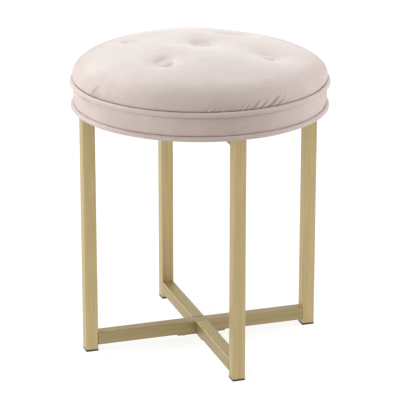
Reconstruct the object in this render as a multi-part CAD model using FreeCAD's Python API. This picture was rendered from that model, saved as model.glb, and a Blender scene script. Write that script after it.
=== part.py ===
import FreeCAD, Part
import math
import os

# A round, button-tufted stool on a crossed frame of square tube.
# Millimetres. +Z is up, and the origin is on the floor below the seat's centre.
# +X runs along the unbroken stretcher, and -Y points towards the front leg.

# Square tube of the frame
tube_size = 20.0
tube_wall = 1.2
tube_corner = 1.8

# Frame, from the floor to the top of the rails under the seat
frame_width = 381.0
frame_height = 389.5
stretcher_underside = 9.5
joint_gap = 0.3

# Black feet plugged into the legs
foot_pad_height = 3.0
foot_plug_length = 13.0
foot_core_size = 12.0
foot_fin_count = 3
foot_fin_thickness = 1.4
foot_plug_clearance = 0.15
foot_plug_corner = 0.5

# Plus-shaped plates that tie the half frames to the unbroken tubes
cross_plate_arm = 40.0
cross_plate_thickness = 2.0
cross_plate_margin = 1.0
cross_plate_corner = 2.0
plate_screw_offset = 28.0

# Screws, bolts and what they turn into
thread_diameter = 6.0
thread_clearance = 0.1
hole_clearance = 0.3
screw_head_diameter = 10.5
screw_head_height = 3.0
screw_head_rounding = 1.8
screw_tip = 1.0
socket_across_flats = 4.0
socket_depth = 1.8
insert_diameter = 8.8
insert_length = 11.0
insert_bulge = 1.3
insert_bulge_height = 3.0
insert_clearance = 0.1
seat_bolt_offset = 105.0
bolt_head_across_flats = 10.0
bolt_head_height = 4.0
bolt_tip_setback = 2.5
washer_diameter = 14.0
washer_thickness = 1.2
tee_nut_flange_diameter = 19.0
tee_nut_flange_thickness = 1.4
tee_nut_barrel_diameter = 7.9
tee_nut_barrel_length = 9.5
tee_nut_clearance = 0.15

# Seat core: plywood board and firm foam, both inside the boxed band
core_overhang = 0.95
board_thickness = 15.0
dust_cover_thickness = 0.5
dust_cover_inset = 13.5
staple_inset = 6.0
staple_count = 20
staple_width = 10.0
staple_wire = 1.0
staple_wire_thickness = 0.6
staple_depth = 6.0

# Velvet band between two piped welts
soft_gap = 0.3
velvet_thickness = 1.5
band_height = 32.1
lower_welt_diameter = 7.4
lower_welt_rise = 0.4
welt_leg_clearance = 0.35
welt_flange_thickness = 0.8
welt_flange_width = 34.0
upper_welt_diameter = 8.0

# Domed crown above the upper welt
crown_height = 55.6
crown_bulge_rise = 5.6
crown_seam_radius = 15.0
crown_edge_radius = 17.0
crown_edge_turn = 45.0
crown_shoulder_radius = 61.0
crown_foam_step = 1.9

# Sewn tufts and their covered buttons
tuft_circle_radius = 108.0
tuft_depth_centre = 14.0
tuft_depth_outer = 11.5
tuft_flare_radius = 44.0
tuft_flare_overrun = 0.9
button_diameter = 25.0
button_height = 7.0
button_rim_height = 4.0
button_clearance = 0.7
button_rim_inset = 1.0
button_base_inset = 2.0
shank_diameter = 5.0
shank_length = 5.0
twine_diameter = 1.8
twine_hole_clearance = 0.7
twine_washer_diameter = 13.0
twine_washer_thickness = 1.4
twine_knot_diameter = 4.8
twine_knot_height = 1.6
twine_recess_clearance = 0.5

# How far a cutting shape runs past what it cuts
cut_over = 1.0

Vec = FreeCAD.Vector
ORIGIN = Vec(0, 0, 0)
Y_AXIS = Vec(0, 1, 0)
Z_AXIS = Vec(0, 0, 1)

# Directions of the four arms of the frame, in degrees from +X
ARMS = {"right": 0.0, "back": 90.0, "left": 180.0, "front": 270.0}
# The outer tufts lie between the arms
OUTER_TUFTS = {"back_right": 45.0, "back_left": 135.0, "front_left": 225.0, "front_right": 315.0}

# Heights and radii that follow from the sizes above
leg_centre = (frame_width - tube_size) / 2
leg_inner_face = frame_width / 2 - tube_size
leg_reach = math.hypot(frame_width / 2, tube_size / 2)
rail_underside = frame_height - tube_size
flange_underside = frame_height + dust_cover_thickness
board_underside = flange_underside + welt_flange_thickness
board_top = board_underside + board_thickness
core_radius = leg_reach + core_overhang
band_inner_radius = core_radius + soft_gap
band_outer_radius = band_inner_radius + velvet_thickness

lower_welt_radius = lower_welt_diameter / 2
lower_welt_circle = leg_reach + welt_leg_clearance + lower_welt_radius
lower_welt_height = board_underside + lower_welt_rise - lower_welt_radius
band_underside = lower_welt_height + lower_welt_radius + soft_gap
band_top = band_underside + band_height

upper_welt_radius = upper_welt_diameter / 2
upper_welt_circle = band_inner_radius + upper_welt_radius
upper_welt_reach = upper_welt_radius + soft_gap
upper_welt_sideways = upper_welt_circle - band_outer_radius
upper_welt_height = band_top + math.sqrt(upper_welt_reach**2 - upper_welt_sideways**2)

crown_radius = upper_welt_circle
crown_seam_height = upper_welt_height + upper_welt_reach
crown_bulge_height = crown_seam_height + crown_bulge_rise
crown_top = crown_seam_height + crown_height
base_foam_top = crown_seam_height - crown_foam_step

# Centres of the crown's arcs, each as (distance from the axis, height)
edge_turn = math.radians(crown_edge_turn)
edge_centre = (crown_radius - crown_edge_radius, crown_bulge_height)
seam_centre = (crown_radius - crown_seam_radius, crown_bulge_height)
shoulder_centre = (
    edge_centre[0] - (crown_shoulder_radius - crown_edge_radius) * math.cos(edge_turn),
    edge_centre[1] - (crown_shoulder_radius - crown_edge_radius) * math.sin(edge_turn),
)
# The dome is the sphere about the axis that reaches crown_top and meets the shoulder smoothly
shoulder_drop = shoulder_centre[1] - crown_top
dome_radius = (crown_shoulder_radius**2 - shoulder_centre[0] ** 2 - shoulder_drop**2) / (
    2 * (shoulder_drop + crown_shoulder_radius)
)
dome_centre = (0.0, crown_top - dome_radius)
dome_turn = math.acos(shoulder_centre[0] / (dome_radius - crown_shoulder_radius))


def polar(radius, degrees):
    """The x and y of a point at this distance and direction from the axis."""
    angle = math.radians(degrees)
    return radius * math.cos(angle), radius * math.sin(angle)


def on_arc(centre, radius, angle):
    """A profile point in the XZ plane on an arc about centre."""
    return Vec(centre[0] + radius * math.cos(angle), 0, centre[1] + radius * math.sin(angle))


def arc(centre, radius, start, end):
    """A profile arc in the XZ plane between two angles."""
    middle = (start + end) / 2
    points = [on_arc(centre, radius, angle) for angle in (start, middle, end)]
    return Part.Arc(*points).toShape()


def line(start, end):
    return Part.LineSegment(start, end).toShape()


def revolved(edges):
    """The solid that a closed profile in the XZ plane sweeps round the Z axis."""
    face = Part.Face(Part.Wire(edges))
    return face.revolve(ORIGIN, Z_AXIS, 360)


def cylinder(radius, bottom, height, x=0.0, y=0.0):
    return Part.makeCylinder(radius, height, Vec(x, y, bottom), Z_AXIS)


def ring(outer_radius, inner_radius, bottom, height, x=0.0, y=0.0):
    hole = cylinder(inner_radius, bottom - cut_over, height + 2 * cut_over, x, y)
    return cylinder(outer_radius, bottom, height, x, y).cut(hole)


def upright_edges(shape):
    return [edge for edge in shape.Edges if round(abs(edge.tangentAt(edge.FirstParameter).z)) == 1]


def square_post(size, corner, bottom, height):
    """A square prism on the Z axis with rounded upright edges."""
    block = Part.makeBox(size, size, height, Vec(-size / 2, -size / 2, bottom))
    return block.makeFillet(corner, upright_edges(block))


def hexagon(across_flats, bottom, height, x, y):
    corner_radius = across_flats / math.sqrt(3)
    points = [Vec(*polar(corner_radius, 60 * i), 0) for i in range(7)]
    prism = Part.Face(Part.makePolygon(points)).extrude(Vec(0, 0, height))
    prism.translate(Vec(x, y, bottom))
    return prism


def drilled(shape, holes):
    return shape.cut(Part.makeCompound(holes)) if holes else shape


# Frame tubes


def tube(length):
    """A length of the square tube, standing on the XY plane."""
    bore_size = tube_size - 2 * tube_wall
    bore_corner = max(tube_corner - tube_wall, foot_plug_corner)
    bore = square_post(bore_size, bore_corner, -cut_over, length + 2 * cut_over)
    return square_post(tube_size, tube_corner, 0.0, length).cut(bore)


def leg(degrees):
    post = tube(frame_height - foot_pad_height)
    post.translate(Vec(leg_centre, 0, foot_pad_height))
    post.rotate(ORIGIN, Z_AXIS, degrees)
    return post


def bar(start, end, degrees, underside):
    """A level tube between two distances from the axis, along one arm's direction."""
    piece = tube(end - start)
    piece.rotate(ORIGIN, Y_AXIS, 90)
    piece.translate(Vec(start, 0, underside + tube_size / 2))
    piece.rotate(ORIGIN, Z_AXIS, degrees)
    return piece


def insert_holes(underside, arms):
    radius = insert_diameter / 2 + insert_clearance
    height = tube_wall + 2 * cut_over
    places = [polar(plate_screw_offset, ARMS[arm]) for arm in arms]
    return [cylinder(radius, underside - cut_over, height, x, y) for x, y in places]


def bolt_holes(arms, bottom, height):
    radius = thread_diameter / 2 + hole_clearance
    places = [polar(seat_bolt_offset, ARMS[arm]) for arm in arms]
    return [cylinder(radius, bottom - cut_over, height + 2 * cut_over, x, y) for x, y in places]


def stretcher(start, end, degrees, arms):
    piece = bar(start, end, degrees, stretcher_underside)
    return drilled(piece, insert_holes(stretcher_underside, arms))


def top_rail(start, end, degrees, arms):
    piece = bar(start, end, degrees, rail_underside)
    holes = insert_holes(rail_underside, arms) + bolt_holes(arms, rail_underside, tube_size)
    return drilled(piece, holes)


def frame_tubes():
    half_start = tube_size / 2 + joint_gap
    tubes = {f"{arm}_leg": leg(degrees) for arm, degrees in ARMS.items()}
    for kind, make in (("stretcher", stretcher), ("top_rail", top_rail)):
        tubes[f"main_{kind}"] = make(-leg_inner_face, leg_inner_face, 0.0, ["left", "right"])
        for arm in ("front", "back"):
            tubes[f"{arm}_{kind}"] = make(half_start, leg_inner_face, ARMS[arm], [arm])
    return tubes


def foot_pad(degrees):
    """The black foot: a pad as wide as the leg on a finned plug inside it."""
    plug_size = tube_size - 2 * (tube_wall + foot_plug_clearance)
    pad = square_post(tube_size, tube_corner, 0.0, foot_pad_height)
    core_height = foot_pad_height + foot_plug_length
    core = square_post(foot_core_size, foot_plug_corner, 0.0, core_height)
    foot = pad.fuse(core)
    fin_pitch = foot_plug_length / foot_fin_count
    for i in range(foot_fin_count):
        fin_bottom = foot_pad_height + (i + 1) * fin_pitch - foot_fin_thickness
        fin = square_post(plug_size, foot_plug_corner, fin_bottom, foot_fin_thickness)
        foot = foot.fuse(fin)
    foot = foot.removeSplitter()
    foot.translate(Vec(leg_centre, 0, 0))
    foot.rotate(ORIGIN, Z_AXIS, degrees)
    return foot


# Cross plates and their fasteners


def cross_plate(top):
    """A plus-shaped plate whose upper face is at this height, with a hole in each arm."""
    width = tube_size - 2 * cross_plate_margin
    corner = Vec(-cross_plate_arm, -width / 2, top - cross_plate_thickness)
    strip = Part.makeBox(2 * cross_plate_arm, width, cross_plate_thickness, corner)
    turned = strip.copy()
    turned.rotate(ORIGIN, Z_AXIS, 90)
    plate = strip.fuse(turned).removeSplitter()
    ends = [
        edge
        for edge in upright_edges(plate)
        if math.hypot(edge.CenterOfMass.x, edge.CenterOfMass.y) > cross_plate_arm
    ]
    plate = plate.makeFillet(cross_plate_corner, ends)
    radius = thread_diameter / 2 + hole_clearance
    height = cross_plate_thickness + 2 * cut_over
    bottom = top - cross_plate_thickness - cut_over
    places = [polar(plate_screw_offset, degrees) for degrees in ARMS.values()]
    return drilled(plate, [cylinder(radius, bottom, height, x, y) for x, y in places])


def plate_screw(x, y, plate_top):
    """A button-head socket screw, driven upwards through the plate into its insert."""
    seat = plate_top - cross_plate_thickness
    bottom = seat - screw_head_height
    head = cylinder(screw_head_diameter / 2, bottom, screw_head_height, x, y)
    rim = [edge for edge in head.Edges if edge.BoundBox.ZMax < bottom + screw_head_height / 2]
    head = head.makeFillet(screw_head_rounding, rim)
    length = cross_plate_thickness + insert_length + screw_tip
    shank = cylinder(thread_diameter / 2 - thread_clearance, seat, length, x, y)
    socket = hexagon(socket_across_flats, bottom - cut_over, cut_over + socket_depth, x, y)
    return head.fuse(shank).removeSplitter().cut(socket)


def threaded_insert(x, y, underside):
    """A set rivet nut: its body in the tube's wall, with the bulge that grips inside."""
    body = cylinder(insert_diameter / 2, underside, insert_length, x, y)
    bulge_bottom = underside + tube_wall + insert_clearance
    bulge = cylinder(insert_diameter / 2 + insert_bulge, bulge_bottom, insert_bulge_height, x, y)
    bore = cylinder(thread_diameter / 2, underside - cut_over, insert_length + 2 * cut_over, x, y)
    return body.fuse(bulge).removeSplitter().cut(bore)


def plate_fasteners(make):
    undersides = (stretcher_underside, rail_underside)
    places = [polar(plate_screw_offset, degrees) for degrees in ARMS.values()]
    return Part.makeCompound([make(x, y, z) for z in undersides for x, y in places])


# Seat bolts


def seat_bolt(x, y):
    """A hexagon-head bolt up through a top rail into the board."""
    seat = rail_underside - washer_thickness
    head = hexagon(bolt_head_across_flats, seat - bolt_head_height, bolt_head_height, x, y)
    length = board_top - bolt_tip_setback - seat
    return head.fuse(cylinder(thread_diameter / 2 - thread_clearance, seat, length, x, y))


def seat_washer(x, y):
    hole_radius = thread_diameter / 2 + hole_clearance
    return ring(washer_diameter / 2, hole_radius, rail_underside - washer_thickness, washer_thickness, x, y)


def tee_nut(x, y):
    """A flanged nut let into the board's top, with its barrel pointing down."""
    flange_bottom = board_top - tee_nut_flange_thickness
    barrel_bottom = flange_bottom - tee_nut_barrel_length
    flange = cylinder(tee_nut_flange_diameter / 2, flange_bottom, tee_nut_flange_thickness, x, y)
    barrel = cylinder(tee_nut_barrel_diameter / 2, barrel_bottom, tee_nut_barrel_length, x, y)
    depth = board_top - barrel_bottom + 2 * cut_over
    bore = cylinder(thread_diameter / 2, barrel_bottom - cut_over, depth, x, y)
    return flange.fuse(barrel).removeSplitter().cut(bore)


def seat_fasteners(make):
    places = [polar(seat_bolt_offset, degrees) for degrees in ARMS.values()]
    return Part.makeCompound([make(x, y) for x, y in places])


# Tufts: each has an axis square to the dome, through the dome's own centre


class Tuft:
    """Where one tuft's axis runs and how deep its button sits."""

    def __init__(self, circle_radius, degrees, depth):
        self.tilt = math.asin(circle_radius / dome_radius)
        self.degrees = degrees
        self.seat = dome_radius - depth

    def placed(self, shape):
        """Moves a shape made on the Z axis, measured from the dome's centre, to this tuft."""
        shape.rotate(ORIGIN, Y_AXIS, math.degrees(self.tilt))
        shape.rotate(ORIGIN, Z_AXIS, self.degrees)
        shape.translate(Vec(0, 0, dome_centre[1]))
        return shape

    def place_at(self, height):
        """The x and y where the axis passes a height."""
        return polar((height - dome_centre[1]) * math.tan(self.tilt), self.degrees)

    def distance_to(self, height):
        """How far along the axis from the dome's centre a height lies."""
        return (height - dome_centre[1]) / math.cos(self.tilt)


tufts = {"centre": Tuft(0.0, 0.0, tuft_depth_centre)}
for place, degrees in OUTER_TUFTS.items():
    tufts[place] = Tuft(tuft_circle_radius, degrees, tuft_depth_outer)


def dimple(tuft, inset):
    """The hollow over a button, whose side rolls out to the dome like drawn velvet."""
    seat_radius = button_diameter / 2 + button_clearance
    flare_top = math.sqrt(dome_radius**2 - tuft_flare_radius**2) + tuft_flare_overrun
    depth = flare_top - tuft.seat
    roll_radius = ((tuft_flare_radius - seat_radius) ** 2 + depth**2) / (2 * depth)
    centre = (tuft_flare_radius, flare_top - roll_radius)
    radius = roll_radius - inset
    seat = tuft.seat - inset
    upper = math.pi / 2
    lower = math.pi - math.asin((seat - centre[1]) / radius)
    inner_end = on_arc(centre, radius, lower)
    outer_end = on_arc(centre, radius, upper)
    roof = flare_top + tuft_flare_radius
    profile = [
        line(Vec(0, 0, seat), inner_end),
        arc(centre, radius, lower, upper),
        line(outer_end, Vec(tuft_flare_radius, 0, roof)),
        line(Vec(tuft_flare_radius, 0, roof), Vec(0, 0, roof)),
        line(Vec(0, 0, roof), Vec(0, 0, seat)),
    ]
    return tuft.placed(revolved(profile))


def tuft_hole(tuft, radius, bottom, top):
    """A round hole along a tuft's axis, between two distances from the dome's centre."""
    return tuft.placed(cylinder(radius, bottom, top - bottom))


def twine_holes(lowest, top=None):
    """The twine's holes from a height up to the button seats, or to another height."""
    radius = twine_diameter / 2 + twine_hole_clearance
    holes = []
    for tuft in tufts.values():
        end = tuft.seat if top is None else tuft.distance_to(top) + cut_over
        holes.append(tuft_hole(tuft, radius, tuft.distance_to(lowest) - cut_over, end))
    return holes


def shank_holes(clearance, depth):
    radius = shank_diameter / 2 + clearance
    return [
        tuft_hole(tuft, radius, tuft.seat - depth, tuft.seat + cut_over) for tuft in tufts.values()
    ]


def button(tuft):
    """A covered button: domed cap, rounded rim and the shank that its twine holds."""
    rim_radius = button_diameter / 2
    edge_radius = rim_radius - button_rim_inset
    base_radius = rim_radius - button_base_inset
    cap_rise = button_height - button_rim_height
    cap_radius = (edge_radius**2 + cap_rise**2) / (2 * cap_rise)
    cap_centre = (0.0, button_height - cap_radius)
    cap_start = math.atan2(button_rim_height - cap_centre[1], edge_radius)
    rim_top = Vec(edge_radius, 0, button_rim_height)
    base_edge = Vec(base_radius, 0, 0)
    rim_side = Vec(rim_radius, 0, button_rim_height / 2)
    profile = [
        line(ORIGIN, base_edge),
        Part.Arc(base_edge, rim_side, rim_top).toShape(),
        arc(cap_centre, cap_radius, cap_start, math.pi / 2),
        line(Vec(0, 0, button_height), ORIGIN),
    ]
    piece = revolved(profile).fuse(cylinder(shank_diameter / 2, -shank_length, shank_length))
    piece = piece.removeSplitter()
    piece.translate(Vec(0, 0, tuft.seat))
    return tuft.placed(piece)


recess_depth = twine_washer_thickness + twine_knot_height + twine_recess_clearance
washer_top = board_underside + recess_depth
washer_bottom = washer_top - twine_washer_thickness


def twine(tuft):
    """The twine from a button's shank down to the knot under its washer."""
    knot_bottom = washer_bottom - twine_knot_height
    knot_middle = washer_bottom - twine_knot_height / 2
    start = tuft.distance_to(knot_middle)
    strand = tuft_hole(tuft, twine_diameter / 2, start, tuft.seat - shank_length)
    x, y = tuft.place_at(knot_middle)
    knot = cylinder(twine_knot_diameter / 2, knot_bottom, twine_knot_height, x, y)
    return strand.fuse(knot)


def twine_washer(tuft):
    x, y = tuft.place_at(washer_bottom)
    hole_radius = twine_diameter / 2 + twine_hole_clearance
    return ring(twine_washer_diameter / 2, hole_radius, washer_bottom, twine_washer_thickness, x, y)


def twine_recesses():
    """Round pockets in the board's underside for the washers and knots."""
    radius = twine_washer_diameter / 2 + twine_recess_clearance
    places = [tuft.place_at(washer_bottom) for tuft in tufts.values()]
    bottom = board_underside - cut_over
    return [cylinder(radius, bottom, recess_depth + cut_over, x, y) for x, y in places]


# Seat


def staple_places():
    radius = core_radius - dust_cover_inset - staple_inset
    pitch = 360.0 / staple_count
    return [(radius, (i + 0.5) * pitch) for i in range(staple_count)]


def staple_block(radius, degrees, sideways, width, bottom, height):
    """A flat block of staple wire, set across the direction of one staple."""
    corner = Vec(radius - staple_wire / 2, sideways - width / 2, bottom)
    block = Part.makeBox(staple_wire, width, height, corner)
    block.rotate(ORIGIN, Z_AXIS, degrees)
    return block


def staple(radius, degrees):
    crown_bottom = frame_height - staple_wire_thickness
    piece = staple_block(radius, degrees, 0.0, staple_width, crown_bottom, staple_wire_thickness)
    for prong in staple_prongs(radius, degrees):
        piece = piece.fuse(prong)
    return piece.removeSplitter()


def staple_prongs(radius, degrees):
    sideways = (staple_width - staple_wire_thickness) / 2
    height = board_underside + staple_depth - frame_height
    return [
        staple_block(radius, degrees, side * sideways, staple_wire_thickness, frame_height, height)
        for side in (-1, 1)
    ]


def all_prongs():
    return [prong for place in staple_places() for prong in staple_prongs(*place)]


def seat_board():
    board = cylinder(core_radius, board_underside, board_thickness)
    barrel_radius = tee_nut_barrel_diameter / 2 + tee_nut_clearance
    flange_radius = tee_nut_flange_diameter / 2 + tee_nut_clearance
    flange_bottom = board_top - tee_nut_flange_thickness
    cuts = twine_recesses() + twine_holes(board_underside, board_top) + all_prongs()
    for degrees in ARMS.values():
        x, y = polar(seat_bolt_offset, degrees)
        depth = board_thickness + 2 * cut_over
        cuts.append(cylinder(barrel_radius, board_underside - cut_over, depth, x, y))
        cuts.append(cylinder(flange_radius, flange_bottom, tee_nut_flange_thickness + cut_over, x, y))
    for shape in cuts:
        board = board.cut(shape)
    return board


def dust_cover():
    cloth = cylinder(core_radius - dust_cover_inset, frame_height, dust_cover_thickness)
    return drilled(cloth, bolt_holes(ARMS, frame_height, dust_cover_thickness) + all_prongs())


def base_foam():
    foam = cylinder(core_radius, board_top, base_foam_top - board_top)
    return drilled(foam, twine_holes(board_top, base_foam_top))


def boxing_band():
    return ring(band_outer_radius, band_inner_radius, band_underside, band_height)


def upper_welt():
    return Part.makeTorus(upper_welt_circle, upper_welt_radius, Vec(0, 0, upper_welt_height))


def lower_welt():
    """The piping round the foot of the band, with its flange turned under the board."""
    cord = Part.makeTorus(lower_welt_circle, lower_welt_radius, Vec(0, 0, lower_welt_height))
    inner_radius = core_radius - welt_flange_width
    flange = ring(lower_welt_circle, inner_radius, flange_underside, welt_flange_thickness)
    return drilled(cord.fuse(flange), all_prongs())


def crown_body(inset, bottom, bottom_radius=None):
    """The crown before its buttons are drawn down, inset by a cover's thickness."""
    seam_angle = -math.asin(crown_bulge_rise / (crown_seam_radius - inset))
    seam = on_arc(seam_centre, crown_seam_radius - inset, seam_angle)
    foot = Vec(seam.x if bottom_radius is None else bottom_radius, 0, bottom)
    apex = Vec(0, 0, crown_top - inset)
    profile = [line(Vec(0, 0, bottom), foot)]
    if bottom < seam.z:
        profile.append(line(foot, seam))
    profile += [
        arc(seam_centre, crown_seam_radius - inset, seam_angle, 0.0),
        arc(edge_centre, crown_edge_radius - inset, 0.0, edge_turn),
        arc(shoulder_centre, crown_shoulder_radius - inset, edge_turn, dome_turn),
        arc(dome_centre, dome_radius - inset, dome_turn, math.pi / 2),
        line(apex, Vec(0, 0, bottom)),
    ]
    body = revolved(profile)
    for tuft in tufts.values():
        body = body.cut(dimple(tuft, inset))
    return body


def crown_cover():
    """The velvet top, a shell that follows the crown down into its tufts."""
    shell = crown_body(0.0, crown_seam_height)
    shell = shell.cut(crown_body(velvet_thickness, crown_seam_height - cut_over))
    return drilled(shell, shank_holes(soft_gap, velvet_thickness + cut_over))


def crown_foam():
    foam = crown_body(velvet_thickness + soft_gap, base_foam_top, core_radius)
    pockets = shank_holes(soft_gap, shank_length + soft_gap)
    return drilled(foam, pockets + twine_holes(base_foam_top))


parts = frame_tubes()
for arm, degrees in ARMS.items():
    parts[f"{arm}_foot_pad"] = foot_pad(degrees)
parts["lower_cross_plate"] = cross_plate(stretcher_underside)
parts["upper_cross_plate"] = cross_plate(rail_underside)
parts["cross_plate_screws"] = plate_fasteners(plate_screw)
parts["threaded_inserts"] = plate_fasteners(threaded_insert)
parts["seat_bolts"] = seat_fasteners(seat_bolt)
parts["seat_bolt_washers"] = seat_fasteners(seat_washer)
parts["seat_tee_nuts"] = seat_fasteners(tee_nut)
parts["seat_board"] = seat_board()
parts["base_foam"] = base_foam()
parts["crown_foam"] = crown_foam()
parts["crown_cover"] = crown_cover()
parts["boxing_band"] = boxing_band()
parts["upper_welt"] = upper_welt()
parts["lower_welt"] = lower_welt()
parts["dust_cover"] = dust_cover()
parts["dust_cover_staples"] = Part.makeCompound([staple(*place) for place in staple_places()])
for place, tuft in tufts.items():
    parts[f"{place}_button"] = button(tuft)
parts["tufting_twines"] = Part.makeCompound([twine(tuft) for tuft in tufts.values()])
parts["twine_washers"] = Part.makeCompound([twine_washer(tuft) for tuft in tufts.values()])

os.makedirs("parts", exist_ok=True)
for name, shape in parts.items():
    shape.exportStep(f"parts/{name}.step")
    print(f"{name}: {len(shape.Solids)} solids, {shape.Volume / 1000:.2f} cm3, valid {shape.isValid()}")
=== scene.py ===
import math
import random

import bmesh
import bpy
from mathutils import Matrix, Vector, noise


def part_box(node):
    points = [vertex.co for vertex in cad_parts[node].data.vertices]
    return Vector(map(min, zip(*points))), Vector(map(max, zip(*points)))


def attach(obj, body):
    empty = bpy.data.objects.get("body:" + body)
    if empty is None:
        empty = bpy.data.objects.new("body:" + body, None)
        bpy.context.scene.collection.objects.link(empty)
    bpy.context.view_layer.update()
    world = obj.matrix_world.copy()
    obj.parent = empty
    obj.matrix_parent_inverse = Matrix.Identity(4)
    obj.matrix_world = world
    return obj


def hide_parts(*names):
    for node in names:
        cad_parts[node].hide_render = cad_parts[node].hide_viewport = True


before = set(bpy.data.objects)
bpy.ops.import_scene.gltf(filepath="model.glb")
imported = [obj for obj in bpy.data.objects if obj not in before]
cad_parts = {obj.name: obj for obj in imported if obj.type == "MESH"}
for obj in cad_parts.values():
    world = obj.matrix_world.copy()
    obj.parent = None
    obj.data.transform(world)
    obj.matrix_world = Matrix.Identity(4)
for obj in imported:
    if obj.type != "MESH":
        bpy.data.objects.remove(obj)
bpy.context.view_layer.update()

# A round, button-tufted stool on a crossed frame of square tube.
# Metres. +Z is up, -Y points towards the front leg, and +X towards the right leg.

BODY = "root"
UP = Vector((0.0, 0.0, 1.0))
CENTIMETRE = 0.01
merge_distance = 1e-6

# Where the frame puts the seat's pieces
crown_low, crown_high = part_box("crown_cover")
band_low, band_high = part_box("boxing_band")
upper_welt_low, upper_welt_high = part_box("upper_welt")
lower_welt_low, lower_welt_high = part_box("lower_welt")
base_foam_low, base_foam_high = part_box("base_foam")
_, dust_cover_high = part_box("dust_cover")
board_low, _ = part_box("seat_board")

# How far the seat's padding has settled, down from the frame's plain shapes
settle = 0.0026

# Crown cushion: its outline, which ends in a wedge tucked under the piping
piping_centre = upper_welt_high.x - (upper_welt_high.z - upper_welt_low.z) / 2
crown_radius = crown_high.x
crown_seam_height = crown_low.z - settle
crown_rise = 0.0606
crown_apex = crown_seam_height + crown_rise
bulge_rise = 0.0056
seam_arc_radius = 0.015
edge_arc_radius = 0.017
shoulder_arc_radius = 0.056
edge_arc_turn = math.radians(45)
tuck_inset = 0.0028
tuck_depth = 0.0009
tuck_foot_inset = 0.0046
foam_clearance = 0.0003
crown_steps = 180
arc_steps = 12
dome_steps = 36
crown_voxel = 0.0045

# How much the crown falls towards its right, and how much fuller its padding is in front
crown_lean = 0.016
front_fullness = 0.0075
fullness_start = 0.015
fullness_end = 0.11

# Where the crown's faces are split for the folds, and where the folds may reach
seam_margin = 0.001
refined_rise = 0.024
refined_from = 0.17
fold_rise_limit = 0.03
fold_from = 0.15
fold_foot = 0.0015

# A fold is a valley with a ridge beside it. These are shares of its own reach, width and depth.
fold_full_share = 0.35
fold_span = 6
ridge_offset = 1.9
ridge_width = 1.2
ridge_height = 0.75

# Folds seen at the crown's seam, each: degrees from +X, turn in degrees per centimetre of rise,
# width, depth, and reach above the seam
SEAM_FOLDS = [
    (195.9, 2.2, 0.0012, 0.0036, 0.024),
    (199.4, 2.4, 0.0012, 0.0015, 0.015),
    (204.0, 2.4, 0.0014, 0.0006, 0.010),
    (254.6, 2.4, 0.0015, 0.0011, 0.011),
    (257.8, 2.2, 0.0013, 0.0009, 0.009),
    (260.2, 2.2, 0.0013, 0.0006, 0.008),
    (268.8, 2.2, 0.0014, 0.0007, 0.013),
    (271.4, 2.4, 0.0014, 0.0011, 0.012),
    (274.8, 3.0, 0.0015, 0.0019, 0.017),
    (278.6, 3.2, 0.0015, 0.0016, 0.015),
    (282.8, 4.0, 0.0016, 0.0026, 0.020),
    (287.0, 4.0, 0.0015, 0.0015, 0.014),
    (291.0, 4.0, 0.0015, 0.0005, 0.010),
]

# Smaller folds round the side and back, one in each equal share of the span, drawn at random
# between these limits
hidden_fold_count = 20
hidden_fold_start = 350.0
hidden_fold_span = 165.0
hidden_fold_places = (0.1, 0.9)
hidden_fold_turns = (-4, 4)
hidden_fold_widths = (0.0015, 0.003)
hidden_fold_depths = (0.0004, 0.0012)
hidden_fold_reaches = (0.006, 0.015)
fold_seed = 11

# Tufts, each with its button's shift to the right, its shift forwards, its lift, and the radius of
# its dish
TUFT_BUTTONS = {
    "centre_button": (0.004, 0.004, 0.002, 0.060),
    "front_left_button": (-0.0028, 0.0, 0.0052, 0.056),
    "front_right_button": (0.0055, 0.0, 0.0012, 0.056),
    "back_left_button": (-0.007, 0.0, 0.0, 0.050),
    "back_right_button": (-0.0026, 0.004, -0.012, 0.052),
}
button_radius = 0.0136
button_height = 0.007
button_tilt = math.radians(5)
button_rim_depth = 0.0023
button_steps = 48
tuft_wall_width = 0.0055
tuft_wall_share = 0.36
tuft_fade_depth = 0.02

# A button's outline over its cap and round its rim: share of its radius, depth below its top
BUTTON_CAP = [
    (0.32, 0.0002),
    (0.64, 0.0009),
    (0.84, 0.0019),
    (0.96, 0.0033),
    (1.0, 0.0046),
    (0.95, 0.0058),
]
button_base_share = 0.80

# Cloth pass over the crown, which is held fast at its seam and round the buttons
cloth_pressure = 4.0
cloth_frames = 20
cloth_cap = 0.006
held_seam_rise = 0.001
freed_seam_rise = 0.010
held_button_margin = 0.004

# Piping and band
piping_steps = 720
piping_join = math.radians(196.2)
ruched_start = math.radians(310)
ruched_end = math.radians(334)
ruche_pitch = math.radians(1.25)
piping_sides = 14
band_rows = 30
band_bow = 0.0012
band_top_tuck = 0.0016
band_foot_tuck = 0.0004
band_tuck_height = 0.0022
band_wall = 0.0014
band_ripple = 0.0006
band_ripple_turns = 9
band_ripple_rise = 18
inner_face_margin = 0.0005

# How uneven the pipings are, and the shape of the join and of the ruched stretch. The shaping
# reaches piping_reach radii from the cord's middle.
piping_reach = 1.05
piping_unevenness = 0.00022
piping_unevenness_turns = 11
piping_unevenness_rise = 40
join_lump = 0.0005
join_lump_place = 0.003
join_lump_width = 0.0028
join_groove = 0.0011
join_groove_width = 0.0007
ruche_height = 0.00035
ruche_fade = 0.06
ruche_slant = 60

# The lower piping's cord and its flange
lower_piping_radius = 0.0037
lower_piping_sides = piping_sides + 6
flange_thickness = 0.0008
flange_width = 0.034
flange_overlap = 0.98

# Foam pad and dust cover
foam_corner = 0.003
foam_steps = 120
foam_corner_steps = 4
dust_cover_drop = 0.0001
dust_cover_thickness = 0.0004
dust_cover_rings = 40
dust_cover_staples = 20
steps_between_staples = 12
scallop_start = 0.93
scallop_depth = 0.0012

# The camera stands at the photograph's place, in front of the stool and to its left
camera_distance = 3.2510
camera_height = 1.3396
camera_azimuth = 0.3165
camera_pitch = 0.3294
camera_lens = 197.88
camera_sensor = 36.0

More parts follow.
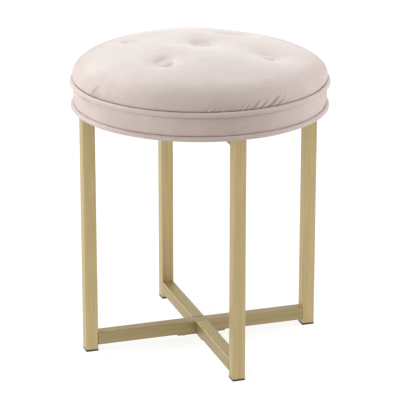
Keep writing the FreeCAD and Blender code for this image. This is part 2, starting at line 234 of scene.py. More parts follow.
# Level directions as the camera sees them
RIGHTWARDS = (math.cos(camera_azimuth), -math.sin(camera_azimuth), 0.0)
FORWARDS = (-math.sin(camera_azimuth), -math.cos(camera_azimuth), 0.0)

# Stage: the floor's size, its grey for the object, and its grey and glow for the camera. Then the
# light from all round, and the backdrop for the camera.
floor_size = 12.0
floor_grey = (0.72, 0.72, 0.72, 1)
floor_seen_grey = (0.26, 0.26, 0.26, 1)
floor_glow = 0.84
room_colour = (1.0, 0.93, 0.89, 1)
room_strength = 0.41
backdrop_colour = (1.0, 1.0, 1.0, 1)
backdrop_strength = 1.0

# Soft boxes: place, aim, width and watts
LAMPS = {
    "back_light": ((-1.6, 2.3, 2.1), (0, 0, 0.4), 1.1, 45),
    "top_light": ((0.0, 0.1, 2.8), (0, 0, 0.4), 1.4, 11),
    "left_light": ((-2.6, -0.2, 1.15), (0, 0, 0.35), 1.2, 26),
    "right_light": ((2.6, -0.6, 1.0), (0, 0, 0.35), 1.2, 37),
}
lamp_colour = (0.97, 1.0, 1.02)

# Finishes
WHITE = (1.0, 1.0, 1.0)
velvet_light = (0.885, 0.815, 0.775)
velvet_dark = (0.855, 0.775, 0.735)
button_light = (0.845, 0.735, 0.700)
button_dark = (0.810, 0.695, 0.655)
# Painted shade on the velvet: a darker, pinker tone on the sides below a height, fading out
# towards the top of the crown over an uneven edge
painted_side_shade_tone = (0.895, 0.835, 0.818)
painted_shade_below = 0.459
painted_shade_ends_above = 0.474
painted_shade_edge_height = 0.014
gold_dark = (0.520, 0.410, 0.205)
gold_light = (0.655, 0.530, 0.288)
brush_line_stretch = 0.012


def link(name, data):
    item = bpy.data.objects.new(name, data)
    bpy.context.scene.collection.objects.link(item)
    return item


def mesh_from(bm, name):
    mesh = bpy.data.meshes.new(name)
    bm.to_mesh(mesh)
    bm.free()
    return mesh


def finish_piece(item, material, replaces):
    item.data.materials.clear()
    item.data.materials.append(material)
    item.data.shade_smooth()
    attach(item, BODY)
    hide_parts(*replaces)


def piece_from(bm, name, material, replaces):
    """Turns a bmesh into a smooth piece of the stool."""
    item = link(name, mesh_from(bm, name))
    finish_piece(item, material, replaces)
    return item


def add_subdivision(item):
    subdivide = item.modifiers.new("subdivide", "SUBSURF")
    subdivide.levels = 1
    subdivide.render_levels = 1


def arc_points(centre, radius, start, end, steps):
    """Profile points, each (distance from the axis, height), on an arc about centre."""
    angles = [start + (end - start) * i / steps for i in range(steps + 1)]
    return [(centre[0] + radius * math.cos(a), centre[1] + radius * math.sin(a)) for a in angles]


def spun(points, steps, closed=True):
    """A bmesh that a profile of (distance, height) points sweeps round the axis."""
    bm = bmesh.new()
    verts = [bm.verts.new((distance, 0.0, height)) for distance, height in points]
    edges = [bm.edges.new(pair) for pair in zip(verts, verts[1:])]
    if closed:
        edges.append(bm.edges.new((verts[-1], verts[0])))
    bmesh.ops.spin(
        bm,
        geom=verts + edges,
        cent=(0, 0, 0),
        axis=UP,
        angle=2 * math.pi,
        steps=steps,
        use_merge=True,
    )
    bmesh.ops.remove_doubles(bm, verts=bm.verts, dist=merge_distance)
    bmesh.ops.recalc_face_normals(bm, faces=bm.faces)
    return bm


def smoothstep(low, high, value):
    t = min(1.0, max(0.0, (value - low) / (high - low)))
    return t * t * (3 - 2 * t)


def angle_between(a, b):
    """The signed difference of two directions, in radians, from -pi to pi."""
    return (a - b + math.pi) % (2 * math.pi) - math.pi


# Materials


def new_material(name):
    material = bpy.data.materials.new(name)
    material.use_nodes = True
    tree = material.node_tree
    tree.nodes.clear()
    output = tree.nodes.new("ShaderNodeOutputMaterial")
    shader = tree.nodes.new("ShaderNodeBsdfPrincipled")
    tree.links.new(shader.outputs["BSDF"], output.inputs["Surface"])
    return material, tree, shader


def object_coordinates(tree, scale=(1, 1, 1)):
    """Object coordinates through a Mapping node that stretches the pattern."""
    coordinates = tree.nodes.new("ShaderNodeTexCoord")
    mapping = tree.nodes.new("ShaderNodeMapping")
    mapping.inputs["Scale"].default_value = scale
    tree.links.new(coordinates.outputs["Object"], mapping.inputs["Vector"])
    return mapping.outputs["Vector"]


def noise_texture(tree, vector, scale, detail, distortion=0.0):
    texture = tree.nodes.new("ShaderNodeTexNoise")
    texture.inputs["Scale"].default_value = scale
    texture.inputs["Detail"].default_value = detail
    texture.inputs["Distortion"].default_value = distortion
    tree.links.new(vector, texture.inputs["Vector"])
    return texture.outputs["Fac"]


def ramp(tree, value, stops):
    """A colour ramp with (place, colour) stops."""
    node = tree.nodes.new("ShaderNodeValToRGB")
    elements = node.color_ramp.elements
    for i, (place, colour) in enumerate(stops):
        element = elements[i] if i < 2 else elements.new(place)
        element.position = place
        element.color = (*colour, 1)
    tree.links.new(value, node.inputs["Fac"])
    return node.outputs["Color"]


def remap(tree, value, low, high, from_low=0.0, from_high=1.0):
    node = tree.nodes.new("ShaderNodeMapRange")
    node.inputs["From Min"].default_value = from_low
    node.inputs["From Max"].default_value = from_high
    node.inputs["To Min"].default_value = low
    node.inputs["To Max"].default_value = high
    tree.links.new(value, node.inputs["Value"])
    return node.outputs["Result"]


def multiply_colours(tree, first, second):
    node = tree.nodes.new("ShaderNodeMix")
    node.data_type = "RGBA"
    node.blend_type = "MULTIPLY"
    node.inputs["Factor"].default_value = 1.0
    tree.links.new(first, node.inputs[6])
    tree.links.new(second, node.inputs[7])
    return node.outputs[2]


def add_bump(tree, shader, height, strength, distance, normal=None):
    """Puts a bump on the shader, on top of the one that normal comes from."""
    node = tree.nodes.new("ShaderNodeBump")
    node.inputs["Strength"].default_value = strength
    node.inputs["Distance"].default_value = distance
    tree.links.new(height, node.inputs["Height"])
    if normal:
        tree.links.new(normal, node.inputs["Normal"])
    tree.links.new(node.outputs["Normal"], shader.inputs["Normal"])
    return node.outputs["Normal"]


def velvet(name, light, dark):
    """Short-pile velvet: patches of nap, fine pile, painted shade on the sides below the top, and
    a sheen at grazing angles.
    """
    material, tree, shader = new_material(name)
    vector = object_coordinates(tree)
    nap = noise_texture(tree, vector, scale=9.0, detail=3.0, distortion=0.6)
    base = ramp(tree, nap, [(0.36, dark), (0.64, light)])
    # Painted shade: the sides and band are darker and pinker than the top of the crown, with an
    # uneven edge between the two
    axes = tree.nodes.new("ShaderNodeSeparateXYZ")
    tree.links.new(vector, axes.inputs["Vector"])
    edge = noise_texture(tree, vector, scale=22.0, detail=2.0)
    uneven = tree.nodes.new("ShaderNodeMath")
    uneven.operation = "MULTIPLY_ADD"
    tree.links.new(edge, uneven.inputs[0])
    uneven.inputs[1].default_value = painted_shade_edge_height
    tree.links.new(axes.outputs["Z"], uneven.inputs[2])
    painted_shade_fade = remap(
        tree,
        uneven.outputs[0],
        low=0.0,
        high=1.0,
        from_low=painted_shade_below,
        from_high=painted_shade_ends_above,
    )
    painted_side_shade = ramp(tree, painted_shade_fade, [(0.0, painted_side_shade_tone), (1.0, WHITE)])
    base = multiply_colours(tree, base, painted_side_shade)
    streak_vector = object_coordinates(tree, scale=(1.0, 1.0, 0.12))
    streaks = noise_texture(tree, streak_vector, scale=70.0, detail=3.0)
    streak_shade = ramp(tree, streaks, [(0.3, (0.955, 0.95, 0.95)), (0.7, WHITE)])
    base = multiply_colours(tree, base, streak_shade)
    pile = noise_texture(tree, vector, scale=1500.0, detail=2.0)
    pile_shade = ramp(tree, pile, [(0.3, (0.95, 0.945, 0.94)), (0.7, WHITE)])
    base = multiply_colours(tree, base, pile_shade)
    tree.links.new(base, shader.inputs["Base Color"])
    tree.links.new(remap(tree, nap, low=0.78, high=0.92), shader.inputs["Roughness"])
    shader.inputs["Specular IOR Level"].default_value = 0.15
    shader.inputs["Sheen Weight"].default_value = 0.55
    shader.inputs["Sheen Roughness"].default_value = 0.4
    shader.inputs["Sheen Tint"].default_value = (1.0, 0.97, 0.95, 1)
    soft = noise_texture(tree, vector, scale=160.0, detail=2.0)
    normal = add_bump(tree, shader, soft, strength=0.12, distance=0.0006)
    add_bump(tree, shader, pile, strength=0.22, distance=0.0004, normal=normal)
    return material


def brushed_gold(name, along, painted_shade_factor):
    """Champagne-gold plate with its brush lines along one axis: 0, 1 or 2 for X, Y or Z, and its
    tones darkened by a painted shade.
    """
    material, tree, shader = new_material(name)
    scale = [1.0, 1.0, 1.0]
    scale[along] = brush_line_stretch
    lines_vector = object_coordinates(tree, scale=scale)
    lines = noise_texture(tree, lines_vector, scale=1400.0, detail=4.0)
    bands = noise_texture(tree, lines_vector, scale=260.0, detail=3.0)
    cloud = noise_texture(tree, object_coordinates(tree), scale=14.0, detail=2.0)
    # Painted shade: both gold tones are scaled down for the tubes that lie level
    low_tone = tuple(painted_shade_factor * c for c in gold_dark)
    high_tone = tuple(painted_shade_factor * c for c in gold_light)
    tone = ramp(tree, lines, [(0.3, low_tone), (0.7, high_tone)])
    band_shade = ramp(tree, bands, [(0.3, (0.86, 0.84, 0.80)), (0.7, WHITE)])
    tone = multiply_colours(tree, tone, band_shade)
    cloud_shade = ramp(tree, cloud, [(0.3, (0.95, 0.94, 0.92)), (0.7, WHITE)])
    tone = multiply_colours(tree, tone, cloud_shade)
    tree.links.new(tone, shader.inputs["Base Color"])
    tree.links.new(remap(tree, lines, low=0.40, high=0.52), shader.inputs["Roughness"])
    shader.inputs["Metallic"].default_value = 0.65
    add_bump(tree, shader, lines, strength=0.12, distance=0.0002)
    return material


def zinc_plate():
    material, tree, shader = new_material("zinc_plate")
    vector = object_coordinates(tree)
    spangle = noise_texture(tree, vector, scale=420.0, detail=3.0, distortion=0.4)
    colour = ramp(tree, spangle, [(0.3, (0.42, 0.42, 0.40)), (0.7, (0.60, 0.60, 0.57))])
    tree.links.new(colour, shader.inputs["Base Color"])
    tree.links.new(remap(tree, spangle, low=0.28, high=0.45), shader.inputs["Roughness"])
    shader.inputs["Metallic"].default_value = 1.0
    add_bump(tree, shader, spangle, strength=0.08, distance=0.0002)
    return material


def black_plastic():
    material, tree, shader = new_material("black_plastic")
    vector = object_coordinates(tree)
    grain = noise_texture(tree, vector, scale=1800.0, detail=3.0)
    scuffs = noise_texture(tree, vector, scale=90.0, detail=4.0, distortion=0.8)
    colour = ramp(tree, scuffs, [(0.4, (0.012, 0.012, 0.012)), (0.75, (0.035, 0.034, 0.033))])
    tree.links.new(colour, shader.inputs["Base Color"])
    tree.links.new(remap(tree, scuffs, low=0.42, high=0.62), shader.inputs["Roughness"])
    add_bump(tree, shader, grain, strength=0.18, distance=0.0002)
    return material


def plywood():
    """Birch plywood: plies by height at the edge, and grain along X on the faces."""
    material, tree, shader = new_material("plywood")
    grain_vector = object_coordinates(tree, scale=(0.06, 1.0, 1.0))
    grain = noise_texture(tree, grain_vector, scale=120.0, detail=5.0, distortion=0.4)
    grain_tone = ramp(tree, grain, [(0.3, (0.44, 0.30, 0.17)), (0.7, (0.62, 0.46, 0.29))])
    ply = tree.nodes.new("ShaderNodeTexWave")
    ply.bands_direction = "Z"
    ply.inputs["Scale"].default_value = 105.0
    ply.inputs["Distortion"].default_value = 0.4
    tree.links.new(object_coordinates(tree), ply.inputs["Vector"])
    ply_tone = ramp(tree, ply.outputs["Fac"], [(0.25, (0.72, 0.68, 0.62)), (0.5, WHITE)])
    tree.links.new(multiply_colours(tree, grain_tone, ply_tone), shader.inputs["Base Color"])
    shader.inputs["Roughness"].default_value = 0.7
    add_bump(tree, shader, grain, strength=0.2, distance=0.0004)
    return material


def foam():
    material, tree, shader = new_material("seat_foam")
    vector = object_coordinates(tree)
    cells = tree.nodes.new("ShaderNodeTexVoronoi")
    cells.inputs["Scale"].default_value = 900.0
    tree.links.new(vector, cells.inputs["Vector"])
    away = cells.outputs["Distance"]
    colour = ramp(tree, away, [(0.1, (0.62, 0.56, 0.38)), (0.7, (0.86, 0.82, 0.64))])
    tree.links.new(colour, shader.inputs["Base Color"])
    shader.inputs["Roughness"].default_value = 0.95
    add_bump(tree, shader, away, strength=0.5, distance=0.0006)
    return material


def black_cloth():
    """Spun-bonded cover cloth: a fine diamond press over loose fibres."""
    material, tree, shader = new_material("black_cloth")
    vector = object_coordinates(tree)
    fibres = noise_texture(tree, vector, scale=700.0, detail=4.0, distortion=1.5)
    press = tree.nodes.new("ShaderNodeTexVoronoi")
    press.inputs["Scale"].default_value = 520.0
    press.inputs["Randomness"].default_value = 0.15
    tree.links.new(vector, press.inputs["Vector"])
    colour = ramp(tree, fibres, [(0.3, (0.010, 0.010, 0.011)), (0.7, (0.040, 0.040, 0.043))])
    tree.links.new(colour, shader.inputs["Base Color"])
    shader.inputs["Roughness"].default_value = 0.88
    shader.inputs["Sheen Weight"].default_value = 0.15
    normal = add_bump(tree, shader, press.outputs["Distance"], strength=0.35, distance=0.0003)
    add_bump(tree, shader, fibres, strength=0.25, distance=0.0003, normal=normal)
    return material


def waxed_twine():
    material, tree, shader = new_material("waxed_twine")
    twist = tree.nodes.new("ShaderNodeTexWave")
    twist.bands_direction = "DIAGONAL"
    twist.inputs["Scale"].default_value = 500.0
    twist.inputs["Distortion"].default_value = 1.5
    tree.links.new(object_coordinates(tree), twist.inputs["Vector"])
    strands = twist.outputs["Fac"]
    colour = ramp(tree, strands, [(0.2, (0.50, 0.45, 0.36)), (0.8, (0.80, 0.76, 0.66))])
    tree.links.new(colour, shader.inputs["Base Color"])
    shader.inputs["Roughness"].default_value = 0.55
    add_bump(tree, shader, strands, strength=0.5, distance=0.0003)
    return material


# Crown cushion


def crown_profile():
    """The crown's outline from the axis over the dome to the seam and back along its flat base."""
    bulge_height = crown_seam_height + bulge_rise
    edge_centre = (crown_radius - edge_arc_radius, bulge_height)
    seam_centre = (crown_radius - seam_arc_radius, bulge_height)
    shift = shoulder_arc_radius - edge_arc_radius
    shoulder_centre = (
        edge_centre[0] - shift * math.cos(edge_arc_turn),
        edge_centre[1] - shift * math.sin(edge_arc_turn),
    )
    drop = shoulder_centre[1] - crown_apex
    dome_radius = (shoulder_arc_radius**2 - shoulder_centre[0] ** 2 - drop**2) / (
        2 * (drop + shoulder_arc_radius)
    )
    dome_turn = math.acos(shoulder_centre[0] / (dome_radius - shoulder_arc_radius))
    seam_turn = -math.asin(bulge_rise / seam_arc_radius)
    dome_centre = (0.0, crown_apex - dome_radius)
    dome = arc_points(dome_centre, dome_radius, math.pi / 2, dome_turn, dome_steps)
    shoulder = arc_points(
        shoulder_centre, shoulder_arc_radius, dome_turn, edge_arc_turn, dome_steps
    )
    edge = arc_points(edge_centre, edge_arc_radius, edge_arc_turn, 0.0, arc_steps)
    seam = arc_points(seam_centre, seam_arc_radius, 0.0, seam_turn, arc_steps)
    foot_height = base_foam_high.z - settle + foam_clearance
    base = [
        (piping_centre - tuck_inset, crown_seam_height - tuck_depth),
        (piping_centre - tuck_foot_inset, foot_height),
        (0.0, foot_height),
    ]
    return dome + shoulder[1:] + edge[1:] + seam[1:] + base


def lean_drop(x, y):
    """The crown stands a little lower towards its right, and its padding is fuller in front."""
    rightwards = x * RIGHTWARDS[0] + y * RIGHTWARDS[1]
    forwards = x * FORWARDS[0] + y * FORWARDS[1]
    fullness = front_fullness * smoothstep(fullness_start, fullness_end, forwards)
    return crown_lean * rightwards - fullness


def button_place(name):
    """A button's centre, the direction that its top faces, and how far its tuft is drawn down."""
    low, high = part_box(name)
    aside, forwards, lift, _ = TUFT_BUTTONS[name]
    centre = (low + high) / 2
    outward = Vector((centre.x, centre.y, 0))
    facing = UP.copy()
    if outward.length > button_radius:
        facing = UP * math.cos(button_tilt) + outward.normalized() * math.sin(button_tilt)
        facing.normalize()
    centre += Vector(RIGHTWARDS) * aside
    centre += Vector(FORWARDS) * forwards
    centre.z += lift
    reach = math.hypot(centre.x, centre.y)
    crown_height = max(height for distance, height in crown_profile() if distance >= reach)
    surface = crown_height - lean_drop(centre.x, centre.y)
    depth = surface - (centre.z + button_height / 2 - button_rim_depth)
    return centre, facing, depth


BUTTON_PLACES = {name: button_place(name) for name in TUFT_BUTTONS}


def tuft_drop(x, y):
    """How far the five tufts draw the top of the crown down at a point."""
    drop = 0.0
    for name, (_, _, _, dish_radius) in TUFT_BUTTONS.items():
        centre, _, depth = BUTTON_PLACES[name]
        away = math.hypot(x - centre.x, y - centre.y) - button_radius
        wall = math.exp(-max(0.0, away) / tuft_wall_width)
        dish = max(0.0, 1 - max(0.0, away) / dish_radius) ** 2
        drop += depth * (tuft_wall_share * wall + (1 - tuft_wall_share) * dish)
    return drop


def apply_modifiers(item):
    """Puts what the piece's modifiers make in the place of its mesh."""
    graph = bpy.context.evaluated_depsgraph_get()
    mesh = bpy.data.meshes.new_from_object(item.evaluated_get(graph), depsgraph=graph)
    item.modifiers.clear()
    old = item.data
    item.data = mesh
    bpy.data.meshes.remove(old)


def tuft_top(item):
    """Draws the crown's top down at the tufts, and leans it."""
    fade_low = crown_seam_height + bulge_rise
    fade_high = crown_apex - tuft_fade_depth
    for vertex in item.data.vertices:
        on_top = smoothstep(fade_low, fade_high, vertex.co.z)
        drop = tuft_drop(vertex.co.x, vertex.co.y) + lean_drop(vertex.co.x, vertex.co.y)
        vertex.co.z -= drop * on_top


def inflate(item):
    """Cloth under pressure, held at the seam and at the tufts."""
    pins = item.vertex_groups.new(name="pins")
    places = [centre for centre, _, _ in BUTTON_PLACES.values()]
    held_height = crown_seam_height + held_seam_rise
    freed_height = crown_seam_height + freed_seam_rise
    freed_radius = button_radius + held_button_margin
    for vertex in item.data.vertices:
        point = vertex.co
        held = 1 - smoothstep(held_height, freed_height, point.z)
        if point.z > crown_seam_height + bulge_rise:
            for centre in places:
                away = math.hypot(point.x - centre.x, point.y - centre.y)
                held = max(held, 1 - smoothstep(button_radius, freed_radius, away))
        if held > 0:
            pins.add([vertex.index], held, "REPLACE")
    start = [vertex.co.copy() for vertex in item.data.vertices]
    cloth = item.modifiers.new("cloth", "CLOTH")
    settings = cloth.settings
    settings.quality = 6
    settings.mass = 0.3
    settings.tension_stiffness = 25
    settings.compression_stiffness = 25
    settings.shear_stiffness = 10
    settings.bending_stiffness = 2.0
    settings.use_pressure = True
    settings.uniform_pressure_force = cloth_pressure
    settings.vertex_group_mass = "pins"
    settings.effector_weights.gravity = 0
    cloth.collision_settings.use_collision = False
    cloth.point_cache.frame_start = 1
    cloth.point_cache.frame_end = cloth_frames
    for step in range(1, cloth_frames + 1):
        bpy.context.scene.frame_set(step)
    apply_modifiers(item)
    bpy.context.scene.frame_set(1)
    for vertex, place in zip(item.data.vertices, start):
        move = vertex.co - place
        if move.length > cloth_cap:
            vertex.co = place + move * (cloth_cap / move.length)


def refine_seam(item):
    """Splits the faces near the seam, so that the folds there stay crisp."""
    bm = bmesh.new()
    bm.from_mesh(item.data)
    near = {}
    for face in bm.faces:
        middle = face.calc_center_median()
        rise = middle.z - crown_seam_height
        if -seam_margin < rise < refined_rise and math.hypot(middle.x, middle.y) > refined_from:
            near.update(dict.fromkeys(face.edges))
    bmesh.ops.subdivide_edges(bm, edges=list(near), cuts=1, use_grid_fill=True)
    bm.to_mesh(item.data)
    bm.free()


def all_folds():
    """The folds that are seen and the ones drawn at random, with their angles in radians."""
    folds = [(math.radians(a), math.radians(turn), *sizes) for a, turn, *sizes in SEAM_FOLDS]
    draw = random.Random(fold_seed)
    for i in range(hidden_fold_count):
        share = (i + draw.uniform(*hidden_fold_places)) / hidden_fold_count
        angle = math.radians(hidden_fold_start + share * hidden_fold_span)
        turn = math.radians(draw.uniform(*hidden_fold_turns))
        width = draw.uniform(*hidden_fold_widths)
        depth = draw.uniform(*hidden_fold_depths)
        reach = draw.uniform(*hidden_fold_reaches)
        folds.append((angle, turn, width, depth, reach))
    return folds


def fold_shift(fold, angle, rise):
    """How far outwards a fold moves the cloth at an angle and a rise above the seam."""
    middle, turn, width, depth, reach = fold
    if rise > reach:
        return 0.0
    along = angle_between(angle, middle + turn * rise / CENTIMETRE) * crown_radius
    if abs(along) > fold_span * width:
        return 0.0
    fade = 1 - smoothstep(fold_full_share * reach, reach, rise)
    fade *= smoothstep(-seam_margin, fold_foot, rise)
    valley = math.exp(-((along / width) ** 2))
    ridge = math.exp(-(((along - ridge_offset * width) / (ridge_width * width)) ** 2))
    return fade * depth * (ridge_height * ridge - valley)


def gather_seam(item):
    """Small slanting folds where the crown's cloth is eased into the seam."""
    folds = all_folds()
    for vertex in item.data.vertices:
        point = vertex.co
        rise = point.z - crown_seam_height
        distance = math.hypot(point.x, point.y)
        if rise < -seam_margin or rise > fold_rise_limit or distance < fold_from:
            continue
        angle = math.atan2(point.y, point.x)
        shift = sum(fold_shift(fold, angle, rise) for fold in folds)
        vertex.co += Vector((point.x, point.y, 0)).normalized() * shift


def make_crown(material):
    """The domed cushion, tufted and inflated, with its cloth gathered at the seam."""
    mesh = mesh_from(spun(crown_profile(), crown_steps, closed=False), "crown_cushion")
    item = link("crown_cushion", mesh)
    pattern = link("crown_pattern", mesh.copy())
    remesh = item.modifiers.new("remesh", "REMESH")
    remesh.mode = "VOXEL"
    remesh.voxel_size = crown_voxel
    wrap = item.modifiers.new("wrap", "SHRINKWRAP")
    wrap.target = pattern
    apply_modifiers(item)
    bpy.data.objects.remove(pattern)
    tuft_top(item)
    inflate(item)
    add_subdivision(item)
    apply_modifiers(item)
    refine_seam(item)
    gather_seam(item)
    finish_piece(item, material, ["crown_cover", "crown_foam"])


def make_button(name, material):
    """A covered button: a domed cap with its cloth turned under the rim."""
    centre, facing, _ = BUTTON_PLACES[name]
    top = button_height / 2
    profile = [(0.0, top)]
    profile += [(share * button_radius, top - depth) for share, depth in BUTTON_CAP]
    profile += [(button_base_share * button_radius, -top), (0.0, -top)]
    bm = spun(profile, button_steps, closed=False)
    turn = UP.rotation_difference(facing).to_matrix().to_4x4()
    bmesh.ops.transform(bm, matrix=Matrix.Translation(centre) @ turn, verts=bm.verts)
    piece_name = name.replace("_button", "_covered_button")
    add_subdivision(piece_from(bm, piece_name, material, [name]))


# Band, piping and base


def make_band(material):
    """The velvet band, bowed a little by the foam behind it and tucked in at both edges."""
    outer = band_high.x
    inner = outer - band_wall - band_top_tuck
    height = band_high.z - settle - band_low.z
    profile = []
    for i in range(band_rows + 1):
        t = i / band_rows
        tuck = band_top_tuck * (1 - smoothstep(0.0, band_tuck_height, height * (1 - t)))
        tuck += band_foot_tuck * (1 - smoothstep(0.0, band_tuck_height, height * t))
        profile.append((outer + band_bow * math.sin(math.pi * t) - tuck, band_low.z + height * t))
    profile += [(inner, band_low.z + height), (inner, band_low.z)]
    bm = spun(profile, piping_steps)
    for vertex in bm.verts:
        angle = math.atan2(vertex.co.y, vertex.co.x)
        if math.hypot(vertex.co.x, vertex.co.y) > inner + inner_face_margin:
            place = Vector(
                (
                    math.cos(angle) * band_ripple_turns,
                    math.sin(angle) * band_ripple_turns,
                    vertex.co.z * band_ripple_rise,
                )
            )
            direction = Vector((math.cos(angle), math.sin(angle), 0))
            vertex.co += direction * noise.noise(place) * band_ripple
    piece_from(bm, "velvet_band", material, ["boxing_band"])


def shape_piping(bm, centre, radius, join=None, ruched=False):
    """Makes a piping as uneven as cloth sewn over cord, with a lapped join or a ruched stretch."""
    for vertex in bm.verts:
        distance = math.hypot(vertex.co.x, vertex.co.y)
        from_cord = Vector((distance - centre[0], vertex.co.z - centre[1]))
        if from_cord.length > radius * piping_reach:
            continue
        angle = math.atan2(vertex.co.y, vertex.co.x)
        around = Vector((math.cos(angle), math.sin(angle), 0))
        place = around * piping_unevenness_turns
        place += Vector((0, 0, vertex.co.z * piping_unevenness_rise))
        grow = piping_unevenness * noise.noise(place)
        if join is not None:
            along = angle_between(angle, join) * distance
            grow += join_lump * math.exp(-(((along - join_lump_place) / join_lump_width) ** 2))
            grow -= join_groove * math.exp(-((along / join_groove_width) ** 2))
        if ruched:
            turn = angle % (2 * math.pi)
            fade = smoothstep(ruched_start, ruched_start + ruche_fade, turn)
            fade *= 1 - smoothstep(ruched_end - ruche_fade, ruched_end, turn)
            wave = 2 * math.pi * turn / ruche_pitch + ruche_slant * from_cord.y
            grow += ruche_height * fade * math.sin(wave)
        out = from_cord.normalized() * grow
        vertex.co += around * out.x + UP * out.y


def make_upper_piping(material):
    """The piping between the crown and the band."""
    radius = (upper_welt_high.z - upper_welt_low.z) / 2
    centre = (upper_welt_high.x - radius, (upper_welt_high.z + upper_welt_low.z) / 2 - settle)
    profile = arc_points(centre, radius, 0.0, 2 * math.pi, piping_sides)[:-1]
    bm = spun(profile, piping_steps)
    shape_piping(bm, centre, radius, join=piping_join)
    piece_from(bm, "upper_piping", material, ["upper_welt"])


def make_lower_piping(material):
    """The lower piping with its flange turned flat under the board."""
    radius = lower_piping_radius
    centre = (lower_welt_high.x - radius, lower_welt_low.z + radius)
    flange_top = board_low.z
    flange_bottom = flange_top - flange_thickness
    flange_inner = lower_welt_high.x - 2 * radius - flange_width
    top_turn = math.pi - math.asin((flange_top - centre[1]) / radius * flange_overlap)
    bottom_turn = math.pi - math.asin((flange_bottom - centre[1]) / radius)
    profile = arc_points(centre, radius, top_turn, bottom_turn - 2 * math.pi, lower_piping_sides)
    profile += [(flange_inner, flange_bottom), (flange_inner, flange_top)]
    bm = spun(profile, piping_steps)
    shape_piping(bm, centre, radius, ruched=True)
    piece_from(bm, "lower_piping", material, ["lower_welt"])


def make_base_foam(material):
    """The firm foam on the board, with soft corners."""
    flat_radius = base_foam_high.x - foam_corner
    low, high = base_foam_low.z, base_foam_high.z - settle
    low_centre = (flat_radius, low + foam_corner)
    high_centre = (flat_radius, high - foam_corner)
    profile = [(0.0, low), (flat_radius, low)]
    profile += arc_points(low_centre, foam_corner, -math.pi / 2, 0.0, foam_corner_steps)
    profile += arc_points(high_centre, foam_corner, 0.0, math.pi / 2, foam_corner_steps)
    profile += [(0.0, high)]
    bm = spun(profile, foam_steps, closed=False)
    item = piece_from(bm, "base_foam_pad", material, ["base_foam"])


def make_dust_cover(material):
    """The black cloth under the seat, drawn tight between its staples."""
    radius = dust_cover_high.x
    height = dust_cover_high.z - dust_cover_drop
    rings = dust_cover_rings
    profile = [(radius * i / rings, height) for i in range(rings + 1)]
    bm = spun(profile, dust_cover_staples * steps_between_staples, closed=False)
    for vertex in bm.verts:
        distance = math.hypot(vertex.co.x, vertex.co.y)
        angle = math.atan2(vertex.co.y, vertex.co.x)
        edge = smoothstep(radius * scallop_start, radius, distance)
        slack = abs(math.sin(angle * dust_cover_staples / 2))
        pull = 1 - edge * slack * scallop_depth / radius
        vertex.co.x *= pull
        vertex.co.y *= pull
    item = piece_from(bm, "underside_cloth", material, ["dust_cover"])
    solid = item.modifiers.new("thickness", "SOLIDIFY")
    solid.thickness = dust_cover_thickness
    solid.offset = -1


# Finishes of the rigid parts


def dress_nodes():
    """Gives each rigid part its finish, with the brush lines along its own tube, and painted shade
    on the level tubes.
    """
    gold = {
        # Painted shade: the gold on tubes along X is darkest, along Y a little lighter, and the
        # upright legs are left unshaded
        "x": brushed_gold("brushed_gold_x_painted_shade", along=0, painted_shade_factor=0.72),
        "y": brushed_gold("brushed_gold_y_painted_shade", along=1, painted_shade_factor=0.80),
        "z": brushed_gold("brushed_gold_z", along=2, painted_shade_factor=1.0),
    }
    finishes = {
        gold["z"]: ["left_leg", "right_leg", "front_leg", "back_leg"],
        gold["x"]: ["main_stretcher", "main_top_rail", "lower_cross_plate", "upper_cross_plate"],
        gold["y"]: ["front_stretcher", "back_stretcher", "front_top_rail", "back_top_rail"],
        black_plastic(): ["left_foot_pad", "right_foot_pad", "front_foot_pad", "back_foot_pad"],
        zinc_plate(): [
            "cross_plate_screws",
            "threaded_inserts",
            "seat_bolts",
            "seat_bolt_washers",
            "seat_tee_nuts",
            "twine_washers",
            "dust_cover_staples",
        ],
        plywood(): ["seat_board"],
        waxed_twine(): ["tufting_twines"],
    }
    for material, names in finishes.items():
        for name in names:
            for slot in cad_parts[name].material_slots:
                slot.material = material


# Stage, light and camera


def seen_directly(tree):
    """1 for rays from the camera, and for those that gloss or glass sends on."""
    path = tree.nodes.new("ShaderNodeLightPath")
    seen = path.outputs["Is Camera Ray"]
    for ray in ("Is Glossy Ray", "Is Transmission Ray"):
        largest = tree.nodes.new("ShaderNodeMath")
        largest.operation = "MAXIMUM"
        tree.links.new(seen, largest.inputs[0])
        tree.links.new(path.outputs[ray], largest.inputs[1])
        seen = largest.outputs[0]
    return seen


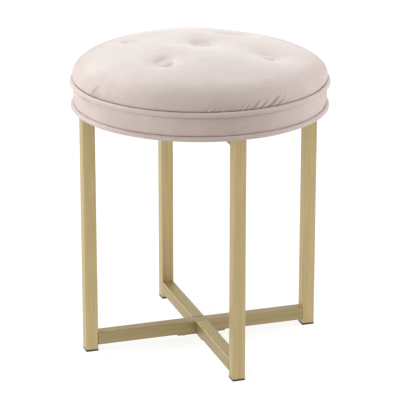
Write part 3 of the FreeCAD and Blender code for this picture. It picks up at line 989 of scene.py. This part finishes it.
def make_floor():
    """A pale floor that melts into the backdrop and keeps the stool's shadow."""
    bm = bmesh.new()
    bmesh.ops.create_grid(bm, x_segments=8, y_segments=8, size=floor_size)
    floor = link("floor", mesh_from(bm, "floor"))
    material = bpy.data.materials.new("pale_floor")
    material.use_nodes = True
    tree = material.node_tree
    tree.nodes.clear()
    output = tree.nodes.new("ShaderNodeOutputMaterial")
    plain = tree.nodes.new("ShaderNodeBsdfDiffuse")
    plain.inputs["Color"].default_value = floor_grey
    seen = tree.nodes.new("ShaderNodeBsdfDiffuse")
    seen.inputs["Color"].default_value = floor_seen_grey
    glow = tree.nodes.new("ShaderNodeEmission")
    glow.inputs["Strength"].default_value = floor_glow
    both = tree.nodes.new("ShaderNodeAddShader")
    mix = tree.nodes.new("ShaderNodeMixShader")
    tree.links.new(seen.outputs[0], both.inputs[0])
    tree.links.new(glow.outputs[0], both.inputs[1])
    tree.links.new(seen_directly(tree), mix.inputs[0])
    tree.links.new(plain.outputs[0], mix.inputs[1])
    tree.links.new(both.outputs[0], mix.inputs[2])
    tree.links.new(mix.outputs[0], output.inputs["Surface"])
    floor.data.materials.append(material)


def make_world():
    """Soft light from all round, and a white backdrop for what looks at it."""
    world = bpy.data.worlds.new("studio")
    bpy.context.scene.world = world
    world.use_nodes = True
    tree = world.node_tree
    tree.nodes.clear()
    output = tree.nodes.new("ShaderNodeOutputWorld")
    lighting = tree.nodes.new("ShaderNodeBackground")
    lighting.inputs["Color"].default_value = room_colour
    lighting.inputs["Strength"].default_value = room_strength
    backdrop = tree.nodes.new("ShaderNodeBackground")
    backdrop.inputs["Color"].default_value = backdrop_colour
    backdrop.inputs["Strength"].default_value = backdrop_strength
    mix = tree.nodes.new("ShaderNodeMixShader")
    tree.links.new(seen_directly(tree), mix.inputs[0])
    tree.links.new(lighting.outputs[0], mix.inputs[1])
    tree.links.new(backdrop.outputs[0], mix.inputs[2])
    tree.links.new(mix.outputs[0], output.inputs["Surface"])


def make_softbox(name, place, target, size, power):
    lamp = bpy.data.lights.new(name, "AREA")
    lamp.shape = "SQUARE"
    lamp.size = size
    lamp.energy = power
    lamp.color = lamp_colour
    item = link(name, lamp)
    item.location = place
    item.rotation_euler = (Vector(target) - Vector(place)).to_track_quat("-Z", "Y").to_euler()


def make_camera():
    data = bpy.data.cameras.new("camera")
    data.lens = camera_lens
    data.sensor_width = camera_sensor
    camera = link("camera", data)
    camera.location = (
        -camera_distance * math.sin(camera_azimuth),
        -camera_distance * math.cos(camera_azimuth),
        camera_height,
    )
    camera.rotation_euler = (math.pi / 2 - camera_pitch, 0, -camera_azimuth)
    bpy.context.scene.camera = camera


make_camera()
make_world()
make_floor()
for lamp_name, settings in LAMPS.items():
    make_softbox(lamp_name, *settings)

blush = velvet("blush_velvet", velvet_light, velvet_dark)
button_blush = velvet("button_velvet", button_light, button_dark)

make_crown(blush)
for button in TUFT_BUTTONS:
    make_button(button, button_blush)
make_band(blush)
make_upper_piping(blush)
make_lower_piping(blush)
make_base_foam(foam())
make_dust_cover(black_cloth())
dress_nodes()

bpy.context.scene.view_settings.view_transform = "Standard"
